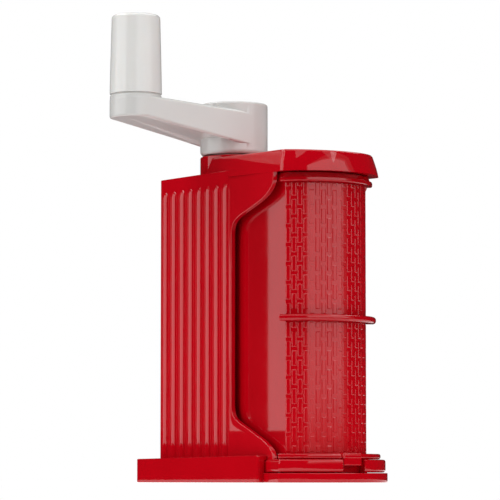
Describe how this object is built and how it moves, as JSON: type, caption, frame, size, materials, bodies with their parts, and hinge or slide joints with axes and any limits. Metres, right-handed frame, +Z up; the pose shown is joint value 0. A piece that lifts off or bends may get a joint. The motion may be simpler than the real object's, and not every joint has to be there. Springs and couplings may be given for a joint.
{
  "type": "rotary cheese grater",
  "caption": "Hand-held rotary cheese grater with an upright drum, a crank on top, a squeeze pusher with a basket-weave front, ribbed grip and a slide-off base.",
  "frame": {"origin": "on the crank axis, in the plane that the base stands on", "axes": "+X to the pusher at the front, +Z up along the crank axis, -Y the side to which the crank points at rest"},
  "size_m": [0.1133, 0.0873, 0.1897],
  "materials": {
    "red_shell": "gloss",
    "red_lid": "gloss",
    "red_pusher": "gloss with basket-weave relief",
    "white_crank": "satin gloss",
    "white_knob": "gloss",
    "inner_white": "satin",
    "drum_steel": "brushed",
    "shaft_steel": "turned"
  },
  "bodies": {
    "housing": {"body_shell": "red_shell", "lid": "red_lid", "floor_plate": "red_shell", "shaft_bushing": "inner_white", "lid_screws": "shaft_steel", "floor_screws": "shaft_steel"},
    "crank": {"crank_arm": "white_crank", "hub_screw": "shaft_steel", "hub_cap": "white_crank", "drive_shaft": "shaft_steel", "thrust_washer": "inner_white", "retaining_ring": "shaft_steel", "drum_top_cap": "inner_white", "grating_drum": "drum_steel", "drum_bottom_ring": "inner_white", "knob_axle": "shaft_steel", "knob_washer": "inner_white"},
    "knob": {"crank_knob": "white_knob", "knob_plug": "white_knob"},
    "pusher": {"pusher_shell": "red_pusher", "press_plate": "inner_white"},
    "base": {"base_cover": "red_shell"}
  },
  "joints": [
    {"name": "crank_turn", "type": "hinge", "parent": "housing", "child": "crank", "pos_m": [0, 0, 0.14], "axis": [0, 0, 1], "continuous": true},
    {"name": "knob_spin", "type": "hinge", "parent": "crank", "child": "knob", "pos_m": [0, -0.0492, 0.17], "axis": [0, 0, 1], "continuous": true},
    {"name": "pusher_slide", "type": "slide", "parent": "housing", "child": "pusher", "axis": [1, 0, 0], "range_m": [0, 0.03]},
    {"name": "base_slide", "type": "slide", "parent": "housing", "child": "base", "axis": [-1, 0, 0], "range_m": [0, 0.085]}
  ]
}
